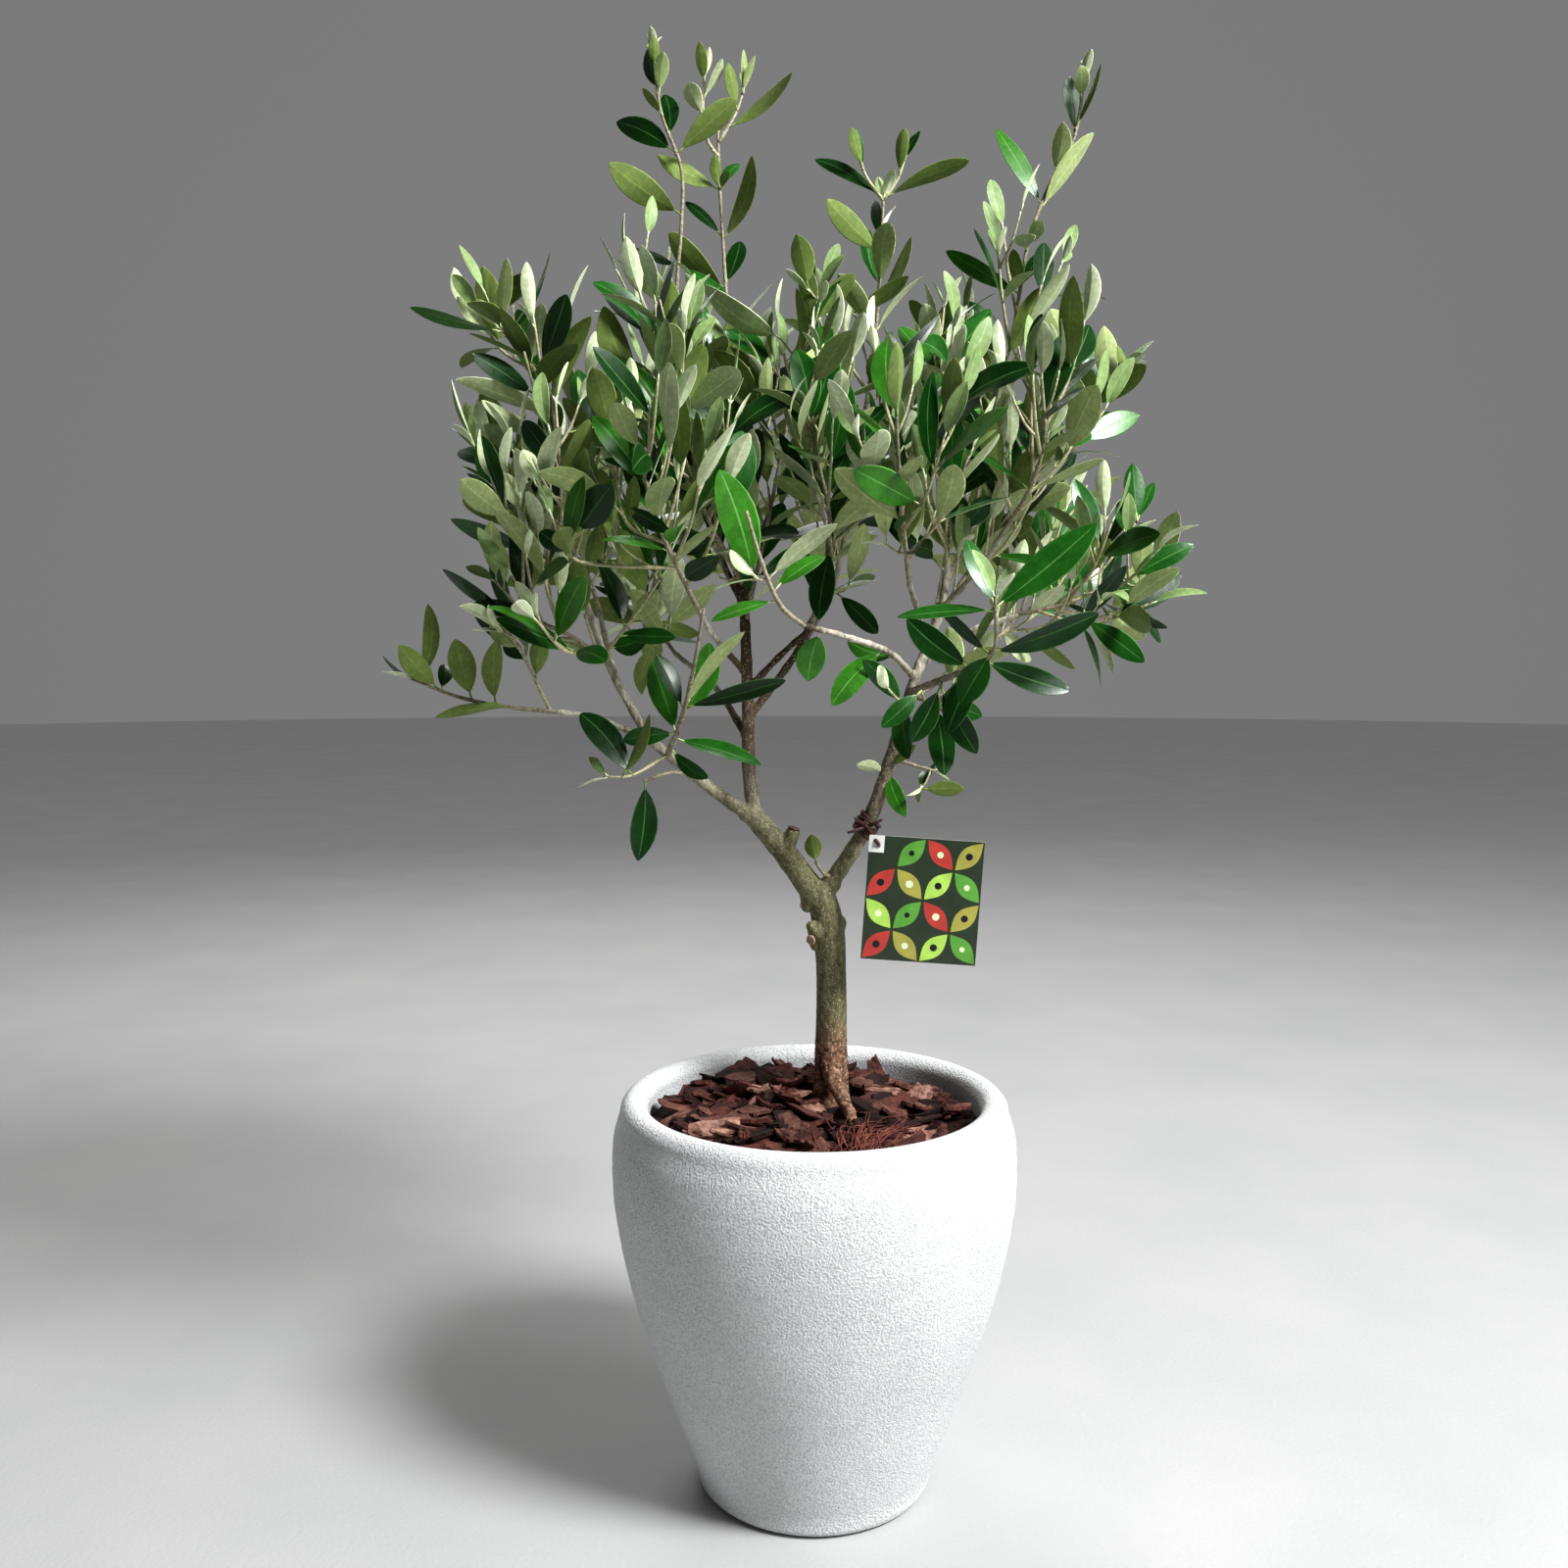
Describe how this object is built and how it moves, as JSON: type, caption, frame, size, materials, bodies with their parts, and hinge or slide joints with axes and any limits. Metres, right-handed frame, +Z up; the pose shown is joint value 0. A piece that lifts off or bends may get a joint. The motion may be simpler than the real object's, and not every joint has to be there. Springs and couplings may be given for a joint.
{
  "type": "potted olive tree",
  "caption": "Young olive tree with a forked trunk and narrow evergreen leaves, in a round white ceramic pot with bark mulch, and a picture tag tied to one bough.",
  "frame": {"origin": "centre of the pot's flat underside, which stands on the ground", "axes": "+Z up along the pot's axis, +X to the right and -Y towards the viewer of the front"},
  "size_m": [0.488, 0.368, 0.8905],
  "materials": {
    "pot_glaze": "matt white, finely grained",
    "potting_soil": "rough, moist",
    "bark_chips": "rough",
    "trunk_bark": "rough bark",
    "bough_bark": "smooth young bark",
    "leaves": "leathery, glossy above and matt below",
    "tie_wrap": "matt",
    "tag_card": "printed, satin"
  },
  "bodies": {
    "root": {"pot": "pot_glaze", "soil": "potting_soil", "bark_mulch": "bark_chips", "trunk": "trunk_bark", "front_long": "bough_bark", "leader": "bough_bark", "leader_back": "bough_bark", "leader_left": "bough_bark", "leader_low_back": "bough_bark", "leader_low_front": "bough_bark", "leader_right": "bough_bark", "leader_tall": "bough_bark", "left_back": "bough_bark", "left_bough": "bough_bark", "left_front": "bough_bark", "left_limb": "bough_bark", "left_long": "bough_bark", "left_upper": "bough_bark", "middle_back": "bough_bark", "right_back": "bough_bark", "right_bough": "bough_bark", "right_front": "bough_bark", "right_high_front": "bough_bark", "right_low": "bough_bark", "right_low_back": "bough_bark", "right_middle": "bough_bark", "right_tall": "bough_bark", "leaf_at_fork": "leaves", "leaf_hanging": "leaves", "leaves_back_centre": "leaves", "leaves_back_left": "leaves", "leaves_back_low": "leaves", "leaves_back_middle": "leaves", "leaves_back_right": "leaves", "leaves_centre_front": "leaves", "leaves_centre_left": "leaves", "leaves_centre_top": "leaves", "leaves_far_left": "leaves", "leaves_front": "leaves", "leaves_front_centre": "leaves", "leaves_front_far_right": "leaves", "leaves_front_left": "leaves", "leaves_front_left_high": "leaves", "leaves_front_right": "leaves", "leaves_left_back": "leaves", "leaves_left_low": "leaves", "leaves_left_middle": "leaves", "leaves_left_top": "leaves", "leaves_right_centre": "leaves", "leaves_right_low": "leaves", "leaves_right_sprig": "leaves", "leaves_right_top": "leaves", "leaves_tall_far_right": "leaves", "leaves_tall_left": "leaves", "leaves_tall_middle": "leaves", "leaves_tall_right": "leaves", "leaves_under_right": "leaves", "tie": "tie_wrap", "tag": "tag_card"}
  },
  "joints": []
}
